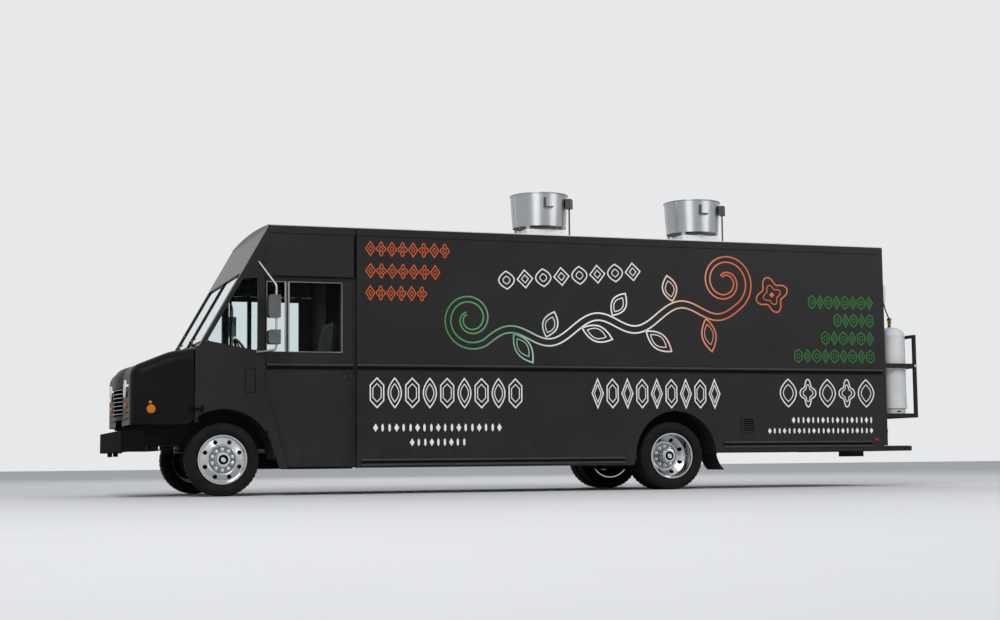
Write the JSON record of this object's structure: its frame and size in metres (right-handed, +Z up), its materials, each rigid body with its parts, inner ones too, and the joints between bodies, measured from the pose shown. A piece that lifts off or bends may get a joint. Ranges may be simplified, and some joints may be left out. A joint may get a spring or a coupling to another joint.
{
  "type": "food truck",
  "caption": "Walk-in step van fitted as a food truck, with a tilting hood, sliding cab doors, a serving hatch, roof fans and a caged pair of gas cylinders at the back.",
  "frame": {"origin": "On the ground, in the middle of the overall length and width.", "axes": "The front faces -X, the driver's side is -Y, and +Z is up."},
  "size_m": [9.759, 2.96, 3.632],
  "materials": {
    "black_paint": "satin",
    "gloss_black": "glossy",
    "white_paint": "glossy",
    "tank_white": "satin",
    "chassis_black": "matte",
    "cast_iron": "rough",
    "tyre_rubber": "matte",
    "hose_rubber": "matte",
    "polished_aluminium": "polished",
    "plain_aluminium": "brushed",
    "chrome": "polished",
    "steel": "brushed",
    "brass": "satin",
    "black_plastic": "matte",
    "grey_plastic": "matte",
    "amber_lens": "glossy",
    "red_lens": "glossy",
    "clear_glass": "clear",
    "seat_fabric": "woven"
  },
  "bodies": {
    "root": {"chassis_frame": "chassis_black", "engine_block": "cast_iron", "fuel_tank": "plain_aluminium", "front_axle": "chassis_black", "leaf_springs": "chassis_black", "driveline": "chassis_black", "exhaust": "steel", "floor_pan": "plain_aluminium", "cab_side_left": "black_paint", "cab_side_right": "black_paint", "cab_front": "gloss_black", "cab_glass": "clear_glass", "cab_partition": "white_paint", "left_wall": "black_paint", "right_wall": "black_paint", "roof": "white_paint", "rear_wall": "black_paint", "serving_window": "plain_aluminium", "front_bumper": "gloss_black", "rear_step": "chassis_black", "mud_flaps": "hose_rubber", "dashboard": "grey_plastic", "steering_wheel": "black_plastic", "driver_seat": "seat_fabric", "fan_housings": "polished_aluminium", "gas_cylinders": "tank_white", "cylinder_valves": "brass", "tank_cage": "chassis_black", "wall_fittings": "black_plastic", "gas_hose": "hose_rubber", "mirror_arms": "steel", "mirror_heads": "black_plastic", "red_lamps": "red_lens", "wipers": "black_plastic", "fan_fittings": "grey_plastic", "gas_regulator": "tank_white"},
    "hood": {"hood_shell": "gloss_black", "grille": "chrome", "headlights": "chrome", "hood_lamps": "amber_lens"},
    "driver_door": {"driver_door": "black_paint", "driver_door_glass": "clear_glass"},
    "passenger_door": {"passenger_door": "black_paint", "passenger_door_glass": "clear_glass"},
    "rear_door": {"rear_door": "black_paint"},
    "serving_hatch": {"serving_hatch": "black_paint"},
    "fan_front": {"fan_wheel_front": "plain_aluminium"},
    "fan_rear": {"fan_wheel_rear": "plain_aluminium"},
    "knuckle_left": {"knuckle_left": "cast_iron"},
    "knuckle_right": {"knuckle_right": "cast_iron"},
    "wheel_front_left": {"rim_front_left": "polished_aluminium", "tyre_front_left": "tyre_rubber"},
    "wheel_front_right": {"rim_front_right": "polished_aluminium", "tyre_front_right": "tyre_rubber"},
    "wheel_rear_left": {"rim_rear_left": "polished_aluminium", "tyre_rear_left": "tyre_rubber"},
    "wheel_rear_right": {"rim_rear_right": "polished_aluminium", "tyre_rear_right": "tyre_rubber"}
  },
  "joints": [
    {"name": "hood_tilt", "type": "hinge", "parent": "root", "child": "hood", "pos_m": [-4.7505, 0, 0.757], "axis": [0, -1, 0], "range_deg": [0, 50]},
    {"name": "driver_door_slide", "type": "slide", "parent": "root", "child": "driver_door", "axis": [1, 0, 0], "range_m": [0, 0.9]},
    {"name": "passenger_door_slide", "type": "slide", "parent": "root", "child": "passenger_door", "axis": [1, 0, 0], "range_m": [0, 0.9]},
    {"name": "rear_door_swing", "type": "hinge", "parent": "root", "child": "rear_door", "pos_m": [4.4195, 1.003, 1.6], "axis": [0, 0, 1], "range_deg": [0, 110]},
    {"name": "serving_hatch_lift", "type": "hinge", "parent": "root", "child": "serving_hatch", "pos_m": [0.0045, 1.208, 2.456], "axis": [1, 0, 0], "range_deg": [0, 95]},
    {"name": "fan_front_spin", "type": "hinge", "parent": "root", "child": "fan_front", "pos_m": [0.2875, 0, 3.33], "axis": [0, 0, 1], "continuous": true},
    {"name": "fan_rear_spin", "type": "hinge", "parent": "root", "child": "fan_rear", "pos_m": [2.3745, 0, 3.33], "axis": [0, 0, 1], "continuous": true},
    {"name": "steer_left", "type": "hinge", "parent": "root", "child": "knuckle_left", "pos_m": [-3.7955, -0.88, 0.396], "axis": [0, 0, 1], "range_deg": [-32, 32]},
    {"name": "steer_right", "type": "hinge", "parent": "root", "child": "knuckle_right", "pos_m": [-3.7955, 0.88, 0.396], "axis": [0, 0, 1], "range_deg": [-32, 32]},
    {"name": "roll_front_left", "type": "hinge", "parent": "knuckle_left", "child": "wheel_front_left", "pos_m": [-3.7955, -1.02, 0.396], "axis": [0, 1, 0], "continuous": true},
    {"name": "roll_front_right", "type": "hinge", "parent": "knuckle_right", "child": "wheel_front_right", "pos_m": [-3.7955, 1.02, 0.396], "axis": [0, 1, 0], "continuous": true},
    {"name": "roll_rear_left", "type": "hinge", "parent": "root", "child": "wheel_rear_left", "pos_m": [1.4875, -0.945, 0.396], "axis": [0, 1, 0], "continuous": true},
    {"name": "roll_rear_right", "type": "hinge", "parent": "root", "child": "wheel_rear_right", "pos_m": [1.4875, 0.945, 0.396], "axis": [0, 1, 0], "continuous": true}
  ],
  "couplings": [
    {"joint": "steer_right", "follows": "steer_left", "ratio": 1}
  ]
}
